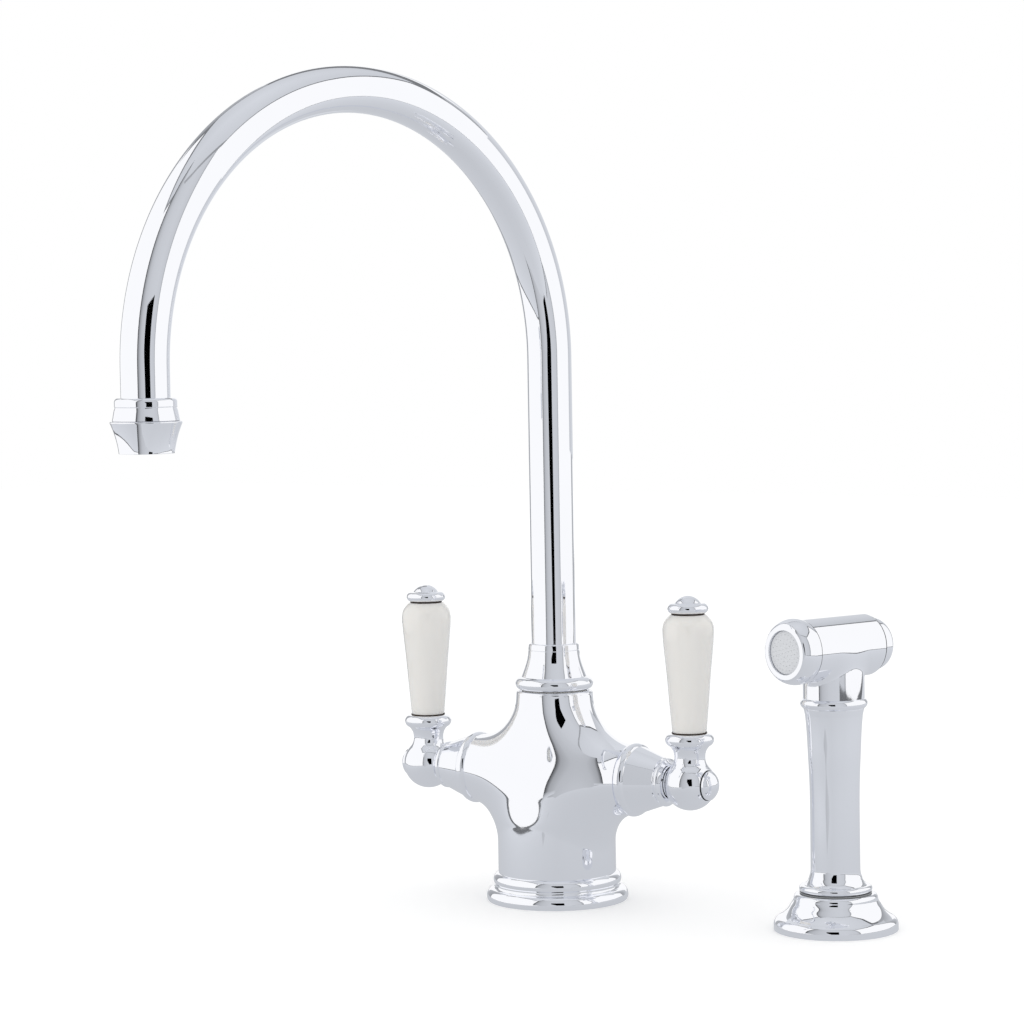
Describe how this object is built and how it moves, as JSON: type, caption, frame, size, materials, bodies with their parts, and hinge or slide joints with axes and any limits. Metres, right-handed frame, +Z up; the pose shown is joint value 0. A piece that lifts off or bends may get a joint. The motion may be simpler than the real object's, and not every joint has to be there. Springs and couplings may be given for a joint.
{
  "type": "side spray kitchen faucet",
  "caption": "Chrome two-lever kitchen tap with porcelain lever grips and a swivelling arched spout, and a matching side spray that stands in its own holder.",
  "frame": {"origin": "on the worktop, on the upright axis of the tap", "axes": "+Z up, +X through the right-hand lever towards the spray, -Y towards the person at the sink"},
  "size_m": [0.2683, 0.2872, 0.3899],
  "materials": {
    "chromed_brass": "polished",
    "plain_brass": "machined",
    "porcelain": "glazed",
    "ceramic": "lapped",
    "rubber": "matt",
    "fibre": "matt",
    "plastic_grey": "moulded",
    "plastic_white": "moulded",
    "steel": "plain"
  },
  "bodies": {
    "tap": {"body": "chromed_brass", "base_flange": "chromed_brass", "base_gasket": "rubber", "thrust_washer": "plastic_white", "spout_grub_screw": "steel", "diverter_cage": "plain_brass", "left_seat_seal": "rubber", "left_fixed_disc": "ceramic", "left_valve_body": "plain_brass", "left_bonnet": "chromed_brass", "right_seat_seal": "rubber", "right_fixed_disc": "ceramic", "right_valve_body": "plain_brass", "right_bonnet": "chromed_brass", "spray_holder": "chromed_brass", "spray_holder_gasket": "rubber"},
    "spout": {"spout_tube": "chromed_brass", "spout_shroud": "chromed_brass", "spout_bush": "plain_brass", "spout_orings": "rubber", "outlet_collar": "chromed_brass", "aerator_housing": "chromed_brass", "aerator_insert": "plastic_white", "outlet_seal": "rubber"},
    "left_lever": {"left_moving_disc": "ceramic", "left_spindle": "plain_brass", "left_hub": "chromed_brass", "left_hub_screw": "steel", "left_index_cap": "chromed_brass", "left_lever_rod": "steel", "left_lever_washers": "fibre", "left_porcelain": "porcelain", "left_finial": "chromed_brass"},
    "right_lever": {"right_moving_disc": "ceramic", "right_spindle": "plain_brass", "right_hub": "chromed_brass", "right_hub_screw": "steel", "right_index_cap": "chromed_brass", "right_lever_rod": "steel", "right_lever_washers": "fibre", "right_porcelain": "porcelain", "right_finial": "chromed_brass"},
    "diverter": {"diverter_plunger": "plastic_white", "diverter_washer": "rubber"},
    "liner": {"spray_liner": "plastic_grey"},
    "handset": {"spray_foot": "chromed_brass", "spray_hose_inlet": "plain_brass", "spray_water_tube": "plastic_white", "spray_grip": "chromed_brass", "spray_collar": "chromed_brass", "spray_head": "chromed_brass", "spray_bezel": "chromed_brass", "spray_face": "plastic_grey", "spray_valve_body": "plain_brass", "spray_button_spring": "steel"},
    "button": {"spray_button": "chromed_brass", "spray_valve_stem": "steel", "spray_valve_seal": "rubber"}
  },
  "joints": [
    {"name": "spout_swivel", "type": "hinge", "parent": "tap", "child": "spout", "pos_m": [0, 0, 0], "axis": [0, 0, 1], "continuous": true},
    {"name": "left_lever_turn", "type": "hinge", "parent": "tap", "child": "left_lever", "pos_m": [-0.075, 0, 0.0602], "axis": [1, 0, 0], "range_deg": [0, 90]},
    {"name": "right_lever_turn", "type": "hinge", "parent": "tap", "child": "right_lever", "pos_m": [0.075, 0, 0.0602], "axis": [1, 0, 0], "range_deg": [0, 90]},
    {"name": "diverter_lift", "type": "slide", "parent": "tap", "child": "diverter", "axis": [0, 0, 1], "range_m": [0, 0.0036]},
    {"name": "liner_turn", "type": "hinge", "parent": "tap", "child": "liner", "pos_m": [0.151, 0, 0], "axis": [0, 0, 1], "continuous": true},
    {"name": "handset_lift", "type": "slide", "parent": "liner", "child": "handset", "axis": [0, 0, 1], "range_m": [0, 0.15]},
    {"name": "button_press", "type": "slide", "parent": "handset", "child": "button", "axis": [-0.2924, -0.9563, 0], "range_m": [0, 0.003], "stiffness_N_per_m": 600, "springref_m": -0.004}
  ]
}
